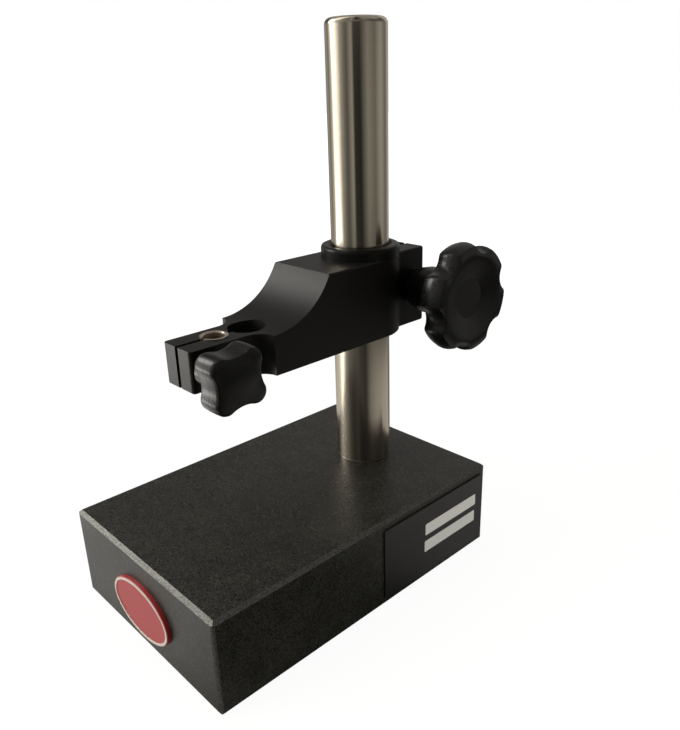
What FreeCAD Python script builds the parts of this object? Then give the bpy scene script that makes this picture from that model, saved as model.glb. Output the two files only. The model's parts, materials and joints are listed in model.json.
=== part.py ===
import FreeCAD, Part
import math
import os

V = FreeCAD.Vector

# A small comparator stand. Sizes are in millimetres.
# The origin is the centre of the granite's underside. +Z is up, +X is the side
# of the knobs and the name plate, and -Y is the short face with the badge.

# Granite base
BASE_WIDTH = 100.0
BASE_LENGTH = 150.0
BASE_HEIGHT = 40.0
BASE_TOP_BEVEL = 1.5
BASE_FOOT_BEVEL = 0.8
BASE_CORNER_ROUND = 1.6

# Column and what holds it in the granite
COLUMN_RADIUS = 12.5
COLUMN_HEIGHT = 188.5
COLUMN_TOP_ROUND = 2.5
COLUMN_FOOT_BEVEL = 0.4
COLUMN_TO_REAR = 28.5
SPIGOT_RADIUS = 8.0
SPIGOT_END_GAP = 1.0
BASE_BUSH_LENGTH = 12.0
BOND_GAP = 0.05
SCREW_RADIUS = 4.0
SCREW_LENGTH = 35.0
SCREW_HEAD_RADIUS = 6.5
SCREW_HEAD_HEIGHT = 8.0
SCREW_HEAD_BEVEL = 0.5
SCREW_KEY = 6.0
SCREW_KEY_DEPTH = 4.0
SCREW_HOLE_GAP = 0.5
THREAD_GAP = 0.05
TAPPING_RUNOUT = 4.0
COUNTERBORE_RADIUS = 10.0
STONE_OVER_COUNTERBORE = 10.5
WASHER_RADIUS = 8.0
WASHER_THICKNESS = 1.6
WASHER_BORE_GAP = 0.2
SPRING_WASHER_THICKNESS = 2.0
SPRING_WASHER_RADIUS = 7.0
SPRING_WASHER_SLIT = 1.2

# Arm, seen from above: lengths along it are counted from the column's axis
ARM_LIFT = 61.2
ARM_DEPTH = 34.3
TONGUE_THICKNESS = 16.4
TONGUE_HALF = 9.0
BODY_HALF = 16.8
EAR_HALF = 11.0
EAR_REACH = 29.8
EAR_FILLET = 3.5
STEM_REACH = 78.0
TONGUE_BEYOND_STEM = 16.5
SHOULDER_REACH = 62.5
SWOOP_RADIUS = 32.0
RELIEF_RADIUS = 7.5
RELIEF_AHEAD = 0.5
TONGUE_SLOT = 1.9
EAR_SLIT = 2.0
ARM_EDGE = 0.5
ARM_CORNER_ROUND = 1.6

# Flanged bush on the column
BUSH_WALL = 1.0
BUSH_FLANGE_RADIUS = 17.0
BUSH_FLANGE_HEIGHT = 4.8
BUSH_FLANGE_ROUND = 1.3
BUSH_MOUTH_BEVEL = 1.4
BUSH_SLIT = 1.6
BUSH_FOOT_GAP = 0.5
RUNNING_GAP = 0.05

# Split sleeve for the indicator's stem
STEM_RADIUS = 4.0
SLEEVE_WALL = 1.5
SLEEVE_PROUD = 0.4
SLEEVE_MOUTH_BEVEL = 0.4
SLEEVE_GAP = 0.03

# Large knob, on the ears: its axis runs along X
CLAMP_TO_EAR_END = 9.3
CLAMP_HEIGHT = 17.9
CLAMP_SCREW_RADIUS = 4.0
CLAMP_SCREW_LENGTH = 45.0
CLAMP_HOLE_GAP = 0.3
CLAMP_WASHER_RADIUS = 7.4
CLAMP_WASHER_THICKNESS = 1.6
SPOT_FACE_GAP = 0.3
CLAMP_BUSH_WALL = 1.5
CLAMP_BUSH_LENGTH = 9.0
CLAMP_HEX = 13.0
CLAMP_HEX_HEIGHT = 5.3
CLAMP_HEX_GAP = 0.05
KNOB_RADIUS = 22.6
KNOB_CROWN = 0.85
KNOB_DISC = 10.6
KNOB_HUB_LENGTH = 22.9
KNOB_HUB_RADIUS = 10.2
KNOB_HUB_END_RADIUS = 7.1
KNOB_HUB_TAPER = 9.5
KNOB_HUB_SWELL = 0.65
KNOB_HUB_END_BEVEL = 0.8
KNOB_LOBES = 6
KNOB_NOTCH_DEPTH = 3.1
KNOB_NOTCH_RADIUS = 7.1
KNOB_NOTCH_PHASE = 13.4
KNOB_NOTCH_ROUND = 2.6
KNOB_EDGE_ROUND = 1.1
KNOB_BAND = 1.6
KNOB_DISH_DEPTH = 2.3
CAP_RADIUS = 8.3
CAP_THICKNESS = 1.6
CAP_EDGE_BEVEL = 0.1
CAP_GAP = 0.05

# Small knob, on the tongue: its axis runs along X too
STEM_CLAMP_AHEAD = 9.5
STEM_CLAMP_RISE = 0.4
STEM_SCREW_RADIUS = 2.5
STEM_HOLE_GAP = 0.2
STEM_SCREW_END_GAP = 0.6
STEM_WASHER_RADIUS = 5.0
STEM_WASHER_THICKNESS = 1.0
STEM_BOSS_RADIUS = 4.2
STEM_BOSS_LENGTH = 9.0
STEM_KNOB_RADIUS = 13.4
STEM_KNOB_WAIST = 9.5
STEM_KNOB_TIP_RADIUS = 4.4
STEM_KNOB_LOBES = 4
STEM_KNOB_PHASE = 49.0
STEM_KNOB_CROWN = 0.2
STEM_KNOB_DISC = 11.2
STEM_KNOB_HUB_LENGTH = 7.7
STEM_KNOB_HUB_RADIUS = 6.8
STEM_KNOB_HUB_BEVEL = 0.5
STEM_KNOB_EDGE_ROUND = 1.1

# Badge on the front face, plate on the right face
BADGE_LENGTH = 40.0
BADGE_HEIGHT = 24.0
BADGE_THICKNESS = 1.5
BADGE_EDGE_BEVEL = 0.15
BADGE_RIM = 1.1
BADGE_RIM_SEAT = 0.5
BADGE_RIM_PROUD = 0.25
BADGE_RIM_GAP = 0.05
BADGE_RIM_MARGIN = 0.25
BADGE_MIDDLE_HEIGHT = 17.4
PLATE_LENGTH = 64.5
PLATE_HEIGHT = 32.5
PLATE_THICKNESS = 0.7
PLATE_TO_REAR = 3.2
PLATE_UNDER_EDGE = 4.0
PLATE_CORNER_ROUND = 0.6

# Places worked out from the sizes
COLUMN_Y = BASE_LENGTH / 2 - COLUMN_TO_REAR
SCALLOP_RADIUS = BODY_HALF - TONGUE_HALF
COLUMN_TOP = BASE_HEIGHT + COLUMN_HEIGHT
SPIGOT_LENGTH = BASE_BUSH_LENGTH - SPIGOT_END_GAP
COUNTERBORE_DEPTH = BASE_HEIGHT - BASE_BUSH_LENGTH - STONE_OVER_COUNTERBORE
WASHER_Z = COUNTERBORE_DEPTH - WASHER_THICKNESS
SCREW_SEAT = WASHER_Z - SPRING_WASHER_THICKNESS
ARM_BOTTOM = BASE_HEIGHT + ARM_LIFT
TONGUE_TOP = ARM_BOTTOM + TONGUE_THICKNESS
ARM_TOP = ARM_BOTTOM + ARM_DEPTH
STEM_Y = COLUMN_Y - STEM_REACH
TONGUE_END_Y = STEM_Y - TONGUE_BEYOND_STEM
SHOULDER_Y = COLUMN_Y - SHOULDER_REACH
RELIEF_Y = SHOULDER_Y - RELIEF_AHEAD
EAR_END_Y = COLUMN_Y + EAR_REACH
CLAMP_Y = EAR_END_Y - CLAMP_TO_EAR_END
CLAMP_Z = ARM_BOTTOM + CLAMP_HEIGHT
STEM_CLAMP_Y = STEM_Y - STEM_CLAMP_AHEAD
STEM_CLAMP_Z = ARM_BOTTOM + TONGUE_THICKNESS / 2 + STEM_CLAMP_RISE
BUSH_INNER = COLUMN_RADIUS + RUNNING_GAP
BUSH_OUTER = BUSH_INNER + BUSH_WALL
ARM_BORE = BUSH_OUTER + RUNNING_GAP
SLEEVE_OUTER = STEM_RADIUS + SLEEVE_WALL
BASE_BUSH_RADIUS = COLUMN_RADIUS
CLAMP_THREAD_RADIUS = CLAMP_SCREW_RADIUS + THREAD_GAP
CLAMP_BUSH_RADIUS = CLAMP_THREAD_RADIUS + CLAMP_BUSH_WALL
KNOB_FLOOR = KNOB_RADIUS - KNOB_NOTCH_DEPTH
KNOB_DISH_RADIUS = KNOB_FLOOR - KNOB_BAND
KNOB_HUB_X = EAR_HALF + CLAMP_WASHER_THICKNESS
KNOB_BACK_X = KNOB_HUB_X + KNOB_HUB_LENGTH
KNOB_FRONT_X = KNOB_BACK_X + KNOB_DISC
CAP_FRONT_X = KNOB_FRONT_X - KNOB_DISH_DEPTH
CAP_BACK_X = CAP_FRONT_X - CAP_THICKNESS
CLAMP_HEAD_X = CAP_BACK_X - CLAMP_HEX_HEIGHT
STEM_HUB_X = TONGUE_HALF + STEM_WASHER_THICKNESS
STEM_KNOB_BACK_X = STEM_HUB_X + STEM_KNOB_HUB_LENGTH

# Cuts run this far past the face that they leave by
PAST = 1.0

# A turned or moulded edge is rounded in these turns, in degrees
ROUND_TURNS = (0, 45, 90)

# A moulded wall bulges through these shares of its width
BARREL_SHARES = (0.25, 0.5, 0.75)


def upright(y, z, radius, height):
    """A cylinder with its axis along Z, on the mid-plane."""
    return Part.makeCylinder(radius, height, V(0, y, z), V(0, 0, 1))


def upright_ring(y, z, outer, inner, height):
    """A tube with its axis along Z."""
    bore = upright(y, z - PAST, inner, height + 2 * PAST)
    return upright(y, z, outer, height).cut(bore)


def sideways(x, y, z, radius, length):
    """A cylinder with its axis along X, from x outwards."""
    return Part.makeCylinder(radius, length, V(x, y, z), V(1, 0, 0))


def sideways_ring(x, y, z, outer, inner, length):
    """A tube with its axis along X."""
    bore = sideways(x - PAST, y, z, inner, length + 2 * PAST)
    return sideways(x, y, z, outer, length).cut(bore)


def block(x0, x1, y0, y1, z0, z1):
    """A plain block between two corners."""
    return Part.makeBox(x1 - x0, y1 - y0, z1 - z0, V(x0, y0, z0))


def line(a, b):
    return Part.makeLine(a, b)


def arc(a, middle, b):
    return Part.Arc(a, middle, b).toShape()


def arc_about(centre, radius, start, end, place):
    """An arc in a plane: place turns two plane coordinates into a point."""
    points = []
    for share in (0.0, 0.5, 1.0):
        angle = math.radians(start + (end - start) * share)
        u = centre[0] + radius * math.cos(angle)
        v = centre[1] + radius * math.sin(angle)
        points.append(place(u, v))
    return arc(*points)


def prism(edges, direction):
    """A closed outline pushed along a direction."""
    return Part.Face(Part.Wire(edges)).extrude(direction)


def turned(points, place, axis):
    """A closed outline of straight runs, turned once round an axis."""
    edges = []
    for a, b in zip(points, points[1:] + points[:1]):
        edges.append(line(V(*a), V(*b)))
    return Part.Face(Part.Wire(edges)).revolve(place, axis, 360)


def round_steps(radius):
    """Points of a rounded edge: how far in from the side, how far in from the face."""
    steps = []
    for turn in ROUND_TURNS:
        angle = math.radians(turn)
        steps.append((radius * (1 - math.cos(angle)), radius * (1 - math.sin(angle))))
    return steps


def moulded_disc(outline, back_x, front_x, edge_round, crown):
    """A lobed disc with round edges and a barrel wall, widest at its parting line."""
    wires = []
    for inset, depth in reversed(round_steps(edge_round)):
        wires.append(outline(back_x + depth, inset))
    wall = front_x - back_x - 2 * edge_round
    for share in BARREL_SHARES:
        bulge = crown * (1 - (2 * share - 1) ** 2)
        wires.append(outline(back_x + edge_round + wall * share, -bulge))
    for inset, depth in round_steps(edge_round):
        wires.append(outline(front_x - depth, inset))
    return Part.makeLoft(wires, True, True)


def hexagon(x, y, z, across_flats, length):
    """A hexagonal bar along X."""
    corner = across_flats / 2 / math.cos(math.radians(30))
    points = []
    for step in range(6):
        angle = math.radians(60 * step)
        points.append(V(x, y + corner * math.cos(angle), z + corner * math.sin(angle)))
    points.append(points[0])
    return Part.Face(Part.makePolygon(points)).extrude(V(length, 0, 0))


def edges_where(shape, test):
    """The edges whose every tested point passes."""
    found = []
    for edge in shape.Edges:
        first, last = edge.ParameterRange
        middle = edge.valueAt((first + last) / 2)
        ends = [edge.valueAt(first), edge.valueAt(last)]
        if all(test(point) for point in ends + [middle]):
            found.append(edge)
    return found


def same(a, b):
    return abs(a - b) < 1e-4


def ground_section(half, place):
    """The stone's section with its ground bevels along the top and the foot."""
    side = [
        (half - BASE_FOOT_BEVEL, 0),
        (half, BASE_FOOT_BEVEL),
        (half, BASE_HEIGHT - BASE_TOP_BEVEL),
        (half - BASE_TOP_BEVEL, BASE_HEIGHT),
    ]
    points = [place(u, z) for u, z in side]
    points += [place(-u, z) for u, z in reversed(side)]
    points.append(points[0])
    return Part.Face(Part.makePolygon(points))


def base_block():
    """Granite block: ground bevels, eased corners, holes for the column."""
    half_x = BASE_WIDTH / 2
    half_y = BASE_LENGTH / 2
    stone = block(-half_x, half_x, -half_y, half_y, 0, BASE_HEIGHT)
    corners = edges_where(stone, lambda p: same(abs(p.x), half_x) and same(abs(p.y), half_y))
    stone = stone.makeFillet(BASE_CORNER_ROUND, corners)
    across = ground_section(half_x, lambda u, z: V(u, -half_y, z))
    stone = stone.common(across.extrude(V(0, BASE_LENGTH, 0)))
    along = ground_section(half_y, lambda u, z: V(-half_x, u, z))
    stone = stone.common(along.extrude(V(BASE_WIDTH, 0, 0)))
    stone = stone.cut(upright(COLUMN_Y, -PAST, COUNTERBORE_RADIUS, COUNTERBORE_DEPTH + PAST))
    stone = stone.cut(upright(COLUMN_Y, 0, SCREW_RADIUS + SCREW_HOLE_GAP, BASE_HEIGHT))
    socket = upright(COLUMN_Y, BASE_HEIGHT - BASE_BUSH_LENGTH, BASE_BUSH_RADIUS + BOND_GAP,
                     BASE_BUSH_LENGTH + PAST)
    return stone.cut(socket)


def base_bush():
    """Steel bush bonded in the granite, as wide as the column that stands on it."""
    return upright_ring(COLUMN_Y, BASE_HEIGHT - BASE_BUSH_LENGTH, BASE_BUSH_RADIUS,
                        SPIGOT_RADIUS + BOND_GAP, BASE_BUSH_LENGTH)


def column():
    """Ground column with a rounded top, a spigot and a tapped foot."""
    spigot_z = BASE_HEIGHT - SPIGOT_LENGTH
    r = COLUMN_RADIUS
    outline = [
        (0, COLUMN_Y, spigot_z),
        (SPIGOT_RADIUS - COLUMN_FOOT_BEVEL, COLUMN_Y, spigot_z),
        (SPIGOT_RADIUS, COLUMN_Y, spigot_z + COLUMN_FOOT_BEVEL),
        (SPIGOT_RADIUS, COLUMN_Y, BASE_HEIGHT),
        (r - COLUMN_FOOT_BEVEL, COLUMN_Y, BASE_HEIGHT),
        (r, COLUMN_Y, BASE_HEIGHT + COLUMN_FOOT_BEVEL),
        (r, COLUMN_Y, COLUMN_TOP),
        (0, COLUMN_Y, COLUMN_TOP),
    ]
    bar = turned(outline, V(0, COLUMN_Y, 0), V(0, 0, 1))
    bar = bar.makeFillet(COLUMN_TOP_ROUND, edges_where(bar, lambda at: same(at.z, COLUMN_TOP)))
    reach = SCREW_SEAT + SCREW_LENGTH + TAPPING_RUNOUT - spigot_z
    tapping = upright(COLUMN_Y, spigot_z - PAST, SCREW_RADIUS + THREAD_GAP, reach + PAST)
    return bar.cut(tapping)


def column_washer():
    """Plain washer against the counterbore's floor."""
    bore = SCREW_RADIUS + WASHER_BORE_GAP
    return upright_ring(COLUMN_Y, WASHER_Z, WASHER_RADIUS, bore, WASHER_THICKNESS)


def column_spring_washer():
    """Spring washer, flattened, with its slit."""
    ring = upright_ring(COLUMN_Y, SCREW_SEAT, SPRING_WASHER_RADIUS, SCREW_RADIUS + WASHER_BORE_GAP,
                        SPRING_WASHER_THICKNESS)
    half = SPRING_WASHER_SLIT / 2
    slit = block(0, SPRING_WASHER_RADIUS + PAST, COLUMN_Y - half, COLUMN_Y + half,
                 SCREW_SEAT - PAST, WASHER_Z + PAST)
    return ring.cut(slit)


def column_screw():
    """Socket-head screw, head down, driven from below."""
    head_z = SCREW_SEAT - SCREW_HEAD_HEIGHT
    head = upright(COLUMN_Y, head_z, SCREW_HEAD_RADIUS, SCREW_HEAD_HEIGHT)
    rim = edges_where(head, lambda p: same(p.z, head_z))
    head = head.makeChamfer(SCREW_HEAD_BEVEL, rim)
    shank = upright(COLUMN_Y, SCREW_SEAT, SCREW_RADIUS, SCREW_LENGTH)
    screw = head.fuse(shank)
    key = hexagon(0, 0, 0, SCREW_KEY, SCREW_KEY_DEPTH + PAST)
    key.rotate(V(0, 0, 0), V(0, 1, 0), -90)
    key.translate(V(0, COLUMN_Y, head_z - PAST))
    return screw.cut(key).removeSplitter()


def arm_side_outline():
    """The arm seen from its side: tongue, swoop, plateau and ears."""
    x = -BODY_HALF
    rise = ARM_DEPTH - TONGUE_THICKNESS
    sweep = math.degrees(math.acos(1 - rise / SWOOP_RADIUS))
    centre = (SHOULDER_Y, TONGUE_TOP + SWOOP_RADIUS)
    swoop_end_y = SHOULDER_Y + SWOOP_RADIUS * math.sin(math.radians(sweep))
    edges = [
        line(V(x, TONGUE_END_Y, ARM_BOTTOM), V(x, TONGUE_END_Y, TONGUE_TOP)),
        line(V(x, TONGUE_END_Y, TONGUE_TOP), V(x, SHOULDER_Y, TONGUE_TOP)),
        arc_about(centre, SWOOP_RADIUS, -90, -90 + sweep, lambda u, v: V(x, u, v)),
        line(V(x, swoop_end_y, ARM_TOP), V(x, EAR_END_Y, ARM_TOP)),
        line(V(x, EAR_END_Y, ARM_TOP), V(x, EAR_END_Y, ARM_BOTTOM)),
        line(V(x, EAR_END_Y, ARM_BOTTOM), V(x, TONGUE_END_Y, ARM_BOTTOM)),
    ]
    return prism(edges, V(2 * BODY_HALF, 0, 0))


def arm_plan_half(side):
    """One side of the outline seen from above, from the tongue's end to the ears' end."""
    def at(u, v):
        return V(side * u, v, ARM_BOTTOM)

    scallop_y = SHOULDER_Y - SCALLOP_RADIUS
    fillet_x = EAR_HALF + EAR_FILLET
    fillet_y = COLUMN_Y + math.sqrt((BODY_HALF + EAR_FILLET) ** 2 - fillet_x ** 2)
    turn = math.degrees(math.atan2(fillet_y - COLUMN_Y, fillet_x))
    return [
        line(at(TONGUE_HALF, TONGUE_END_Y), at(TONGUE_HALF, scallop_y)),
        arc_about((BODY_HALF, scallop_y), SCALLOP_RADIUS, 180, 90, at),
        line(at(BODY_HALF, SHOULDER_Y), at(BODY_HALF, COLUMN_Y)),
        arc_about((0, COLUMN_Y), BODY_HALF, 0, turn, at),
        arc_about((fillet_x, fillet_y), EAR_FILLET, 180 + turn, 180, at),
        line(at(EAR_HALF, fillet_y), at(EAR_HALF, EAR_END_Y)),
    ]


def arm():
    """Milled arm: tongue, scalloped neck, swoop, hub and clamp ears, split at both ends."""
    right = arm_plan_half(1)
    left = arm_plan_half(-1)
    front = line(V(-TONGUE_HALF, TONGUE_END_Y, ARM_BOTTOM), V(TONGUE_HALF, TONGUE_END_Y, ARM_BOTTOM))
    rear = line(V(-EAR_HALF, EAR_END_Y, ARM_BOTTOM), V(EAR_HALF, EAR_END_Y, ARM_BOTTOM))
    outline = Part.__sortEdges__(right + [rear] + left + [front])
    plan = Part.Face(Part.Wire(outline)).extrude(V(0, 0, ARM_DEPTH))
    body = plan.common(arm_side_outline())
    body = ease_arm(body)
    body = body.cut(upright(COLUMN_Y, ARM_BOTTOM - PAST, ARM_BORE, ARM_DEPTH + 2 * PAST))
    body = body.cut(upright(RELIEF_Y, ARM_BOTTOM - PAST, RELIEF_RADIUS, ARM_DEPTH + 2 * PAST))
    body = body.cut(upright(STEM_Y, ARM_BOTTOM - PAST, SLEEVE_OUTER + SLEEVE_GAP,
                            TONGUE_THICKNESS + 2 * PAST))
    half = TONGUE_SLOT / 2
    body = body.cut(block(-half, half, TONGUE_END_Y - PAST, RELIEF_Y,
                          ARM_BOTTOM - PAST, TONGUE_TOP + PAST))
    half = EAR_SLIT / 2
    body = body.cut(block(-half, half, COLUMN_Y, EAR_END_Y + PAST, ARM_BOTTOM - PAST, ARM_TOP + PAST))
    body = body.cut(sideways(0, CLAMP_Y, CLAMP_Z, CLAMP_SCREW_RADIUS + CLAMP_HOLE_GAP, BODY_HALF))
    body = body.cut(sideways(-BODY_HALF, CLAMP_Y, CLAMP_Z, CLAMP_BUSH_RADIUS, BODY_HALF))
    spot_face = CLAMP_WASHER_RADIUS + SPOT_FACE_GAP
    body = body.cut(sideways(EAR_HALF, CLAMP_Y, CLAMP_Z, spot_face, BODY_HALF))
    body = body.cut(sideways(0, STEM_CLAMP_Y, STEM_CLAMP_Z, STEM_SCREW_RADIUS + STEM_HOLE_GAP, BODY_HALF))
    body = body.cut(sideways(-BODY_HALF, STEM_CLAMP_Y, STEM_CLAMP_Z, STEM_SCREW_RADIUS + THREAD_GAP,
                             BODY_HALF))
    return body


def ease_arm(body):
    """Corners rounded, then the long edges broken as milled parts are."""
    def at_corner(p):
        front = same(p.y, TONGUE_END_Y) and same(abs(p.x), TONGUE_HALF)
        rear = same(p.y, EAR_END_Y) and same(abs(p.x), EAR_HALF)
        return front or rear

    body = body.makeFillet(ARM_CORNER_ROUND, edges_where(body, at_corner))
    rims = [edge for edge in body.Edges if is_level(edge, ARM_BOTTOM) or is_level(edge, ARM_TOP)]
    rims = [edge for edge in rims if not crosses(edge)]
    return body.makeChamfer(ARM_EDGE, rims)


def is_level(edge, z):
    """True for an edge that lies at one height."""
    first, last = edge.ParameterRange
    return all(same(edge.valueAt(t).z, z) for t in (first, (first + last) / 2, last))


def crosses(edge):
    """True for the straight edge where the swoop runs out into the plateau."""
    box = edge.BoundBox
    return box.YLength < 1e-3 and same(box.XLength, 2 * BODY_HALF)


def arm_bush():
    """Flanged bush, split at the rear, that lines the arm's column bore."""
    foot_z = ARM_BOTTOM + BUSH_FOOT_GAP
    top_z = ARM_TOP + BUSH_FLANGE_HEIGHT
    y = COLUMN_Y
    outline = [
        (BUSH_INNER, y, foot_z),
        (BUSH_OUTER, y, foot_z),
        (BUSH_OUTER, y, ARM_TOP),
        (BUSH_FLANGE_RADIUS, y, ARM_TOP),
    ]
    for inset, depth in round_steps(BUSH_FLANGE_ROUND):
        outline.append((BUSH_FLANGE_RADIUS - inset, y, top_z - depth))
    outline.append((BUSH_INNER + BUSH_MOUTH_BEVEL, y, top_z))
    outline.append((BUSH_INNER, y, top_z - BUSH_MOUTH_BEVEL))
    ring = turned(outline, V(0, y, 0), V(0, 0, 1))
    half = BUSH_SLIT / 2
    slit = block(-half, half, y, y + BUSH_FLANGE_RADIUS + PAST, foot_z - PAST, top_z + PAST)
    return ring.cut(slit)


def stem_sleeve():
    """Split sleeve that takes the indicator's stem."""
    top_z = TONGUE_TOP + SLEEVE_PROUD
    y = STEM_Y
    bevel = SLEEVE_MOUTH_BEVEL
    outline = [
        (STEM_RADIUS, y, ARM_BOTTOM + bevel),
        (STEM_RADIUS + bevel, y, ARM_BOTTOM),
        (SLEEVE_OUTER, y, ARM_BOTTOM),
        (SLEEVE_OUTER, y, top_z),
        (STEM_RADIUS + bevel, y, top_z),
        (STEM_RADIUS, y, top_z - bevel),
    ]
    ring = turned(outline, V(0, y, 0), V(0, 0, 1))
    half = TONGUE_SLOT / 2
    return ring.cut(block(-half, half, y - SLEEVE_OUTER - PAST, y, ARM_BOTTOM - PAST, top_z + PAST))


def clamp_thread_bush():
    """Threaded bush pressed in the far ear, flush with its outer face."""
    return sideways_ring(-EAR_HALF, CLAMP_Y, CLAMP_Z, CLAMP_BUSH_RADIUS, CLAMP_THREAD_RADIUS,
                         CLAMP_BUSH_LENGTH)


def clamp_washer():
    """Washer between the near ear and the large knob."""
    bore = CLAMP_SCREW_RADIUS + WASHER_BORE_GAP
    return sideways_ring(EAR_HALF, CLAMP_Y, CLAMP_Z, CLAMP_WASHER_RADIUS, bore, CLAMP_WASHER_THICKNESS)


def clamp_screw():
    """Hexagon-headed screw, its head in the knob's pocket."""
    head = hexagon(CLAMP_HEAD_X, CLAMP_Y, CLAMP_Z, CLAMP_HEX, CLAMP_HEX_HEIGHT)
    shank = sideways(CLAMP_HEAD_X - CLAMP_SCREW_LENGTH, CLAMP_Y, CLAMP_Z, CLAMP_SCREW_RADIUS,
                     CLAMP_SCREW_LENGTH)
    return head.fuse(shank)


def clamp_knob_cap():
    """Round cap at the bottom of the dished front."""
    cap = sideways(CAP_BACK_X, CLAMP_Y, CLAMP_Z, CAP_RADIUS - CAP_GAP, CAP_THICKNESS)
    rim = [edge for edge in cap.Edges if same(edge.BoundBox.XMin, CAP_FRONT_X)]
    return cap.makeChamfer(CAP_EDGE_BEVEL, rim)


def clamp_knob_outline(x, inset):
    """Six lobes on one circle, hollows between them, and small arcs that join the two."""
    far = KNOB_FLOOR + KNOB_NOTCH_RADIUS
    near = KNOB_RADIUS - KNOB_NOTCH_ROUND
    reach = KNOB_NOTCH_RADIUS + KNOB_NOTCH_ROUND
    spread = math.acos((far ** 2 + near ** 2 - reach ** 2) / (2 * far * near))
    pitch = 2 * math.pi / KNOB_LOBES

    def at(radius, angle):
        return V(x, CLAMP_Y + radius * math.cos(angle), CLAMP_Z + radius * math.sin(angle))

    def between(centre, towards, radius):
        return centre + (towards - centre).normalize() * radius

    edges = []
    for number in range(KNOB_LOBES):
        notch = math.radians(KNOB_NOTCH_PHASE) + number * pitch
        hollow = at(far, notch)
        before = at(near, notch - spread)
        after = at(near, notch + spread)
        start = at(KNOB_RADIUS - inset, notch - spread)
        enter = between(hollow, before, KNOB_NOTCH_RADIUS + inset)
        leave = between(hollow, after, KNOB_NOTCH_RADIUS + inset)
        end = at(KNOB_RADIUS - inset, notch + spread)
        next_start = at(KNOB_RADIUS - inset, notch + pitch - spread)
        turn_in = between(before, (start + enter) / 2, KNOB_NOTCH_ROUND - inset)
        turn_out = between(after, (leave + end) / 2, KNOB_NOTCH_ROUND - inset)
        edges.append(arc(start, turn_in, enter))
        edges.append(arc(enter, at(KNOB_FLOOR - inset, notch), leave))
        edges.append(arc(leave, turn_out, end))
        edges.append(arc(end, at(KNOB_RADIUS - inset, notch + pitch / 2), next_start))
    return Part.Wire(edges)


def clamp_knob():
    """Six-lobed knob: tapered hub, lobed disc, dished front with a seat for its cap."""
    y = CLAMP_Y
    z = CLAMP_Z
    disc = moulded_disc(clamp_knob_outline, KNOB_BACK_X, KNOB_FRONT_X, KNOB_EDGE_ROUND, KNOB_CROWN)
    taper_x = KNOB_HUB_X + KNOB_HUB_TAPER
    swell = KNOB_HUB_END_RADIUS + KNOB_HUB_SWELL * (KNOB_HUB_RADIUS - KNOB_HUB_END_RADIUS)
    hub = turned([
        (KNOB_HUB_X, y, z),
        (KNOB_HUB_X, y, z + KNOB_HUB_END_RADIUS - KNOB_HUB_END_BEVEL),
        (KNOB_HUB_X + KNOB_HUB_END_BEVEL, y, z + KNOB_HUB_END_RADIUS),
        ((KNOB_HUB_X + taper_x) / 2, y, z + swell),
        (taper_x, y, z + KNOB_HUB_RADIUS),
        (KNOB_BACK_X + PAST, y, z + KNOB_HUB_RADIUS),
        (KNOB_BACK_X + PAST, y, z),
    ], V(0, y, z), V(1, 0, 0))
    slope = (KNOB_DISH_RADIUS - CAP_RADIUS) / KNOB_DISH_DEPTH
    dish = turned([
        (CAP_FRONT_X, y, z),
        (CAP_FRONT_X, y, z + CAP_RADIUS),
        (KNOB_FRONT_X + PAST, y, z + KNOB_DISH_RADIUS + PAST * slope),
        (KNOB_FRONT_X + PAST, y, z),
    ], V(0, y, z), V(1, 0, 0))
    knob = disc.fuse(hub).cut(dish)
    knob = knob.cut(sideways(CAP_BACK_X, y, z, CAP_RADIUS, KNOB_DISC))
    pocket = CLAMP_HEX + 2 * CLAMP_HEX_GAP
    knob = knob.cut(hexagon(CLAMP_HEAD_X, y, z, pocket, KNOB_DISC))
    return knob.cut(sideways(0, y, z, CLAMP_SCREW_RADIUS + CLAMP_HEX_GAP, KNOB_FRONT_X))


def stem_washer():
    """Washer between the tongue and the small knob."""
    bore = STEM_SCREW_RADIUS + WASHER_BORE_GAP
    return sideways_ring(TONGUE_HALF, STEM_CLAMP_Y, STEM_CLAMP_Z, STEM_WASHER_RADIUS, bore,
                         STEM_WASHER_THICKNESS)


def stem_screw():
    """Stud with a boss that is pressed in the small knob's hub."""
    y = STEM_CLAMP_Y
    z = STEM_CLAMP_Z
    start_x = STEM_SCREW_END_GAP - TONGUE_HALF
    stud = sideways(start_x, y, z, STEM_SCREW_RADIUS, STEM_HUB_X - start_x + STEM_BOSS_LENGTH)
    boss = sideways(STEM_HUB_X, y, z, STEM_BOSS_RADIUS, STEM_BOSS_LENGTH)
    return stud.fuse(boss).removeSplitter()


def stem_knob_outline(x, inset):
    """Four round tips joined by hollows that run into them smoothly."""
    tip_centre = STEM_KNOB_RADIUS - STEM_KNOB_TIP_RADIUS
    half = math.pi / STEM_KNOB_LOBES
    tip = STEM_KNOB_TIP_RADIUS
    waist = STEM_KNOB_WAIST
    over = tip ** 2 - tip_centre ** 2 - waist ** 2 + 2 * tip_centre * waist * math.cos(half)
    hollow = over / (2 * (waist - tip_centre * math.cos(half) - tip))
    reach = waist + hollow
    swing = math.atan2(reach * math.sin(half), reach * math.cos(half) - tip_centre)

    def at(radius, angle):
        y = STEM_CLAMP_Y + radius * math.cos(angle)
        z = STEM_CLAMP_Z + radius * math.sin(angle)
        return V(x, y, z)

    def on_tip(middle, angle):
        centre = at(tip_centre, middle)
        y = centre.y + (tip - inset) * math.cos(middle + angle)
        z = centre.z + (tip - inset) * math.sin(middle + angle)
        return V(x, y, z)

    edges = []
    for number in range(STEM_KNOB_LOBES):
        middle = math.radians(STEM_KNOB_PHASE) + number * 2 * half
        before = on_tip(middle, -swing)
        after = on_tip(middle, swing)
        following = on_tip(middle + 2 * half, -swing)
        edges.append(arc(before, at(STEM_KNOB_RADIUS - inset, middle), after))
        edges.append(arc(after, at(waist - inset, middle + half), following))
    return Part.Wire(edges)


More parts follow.
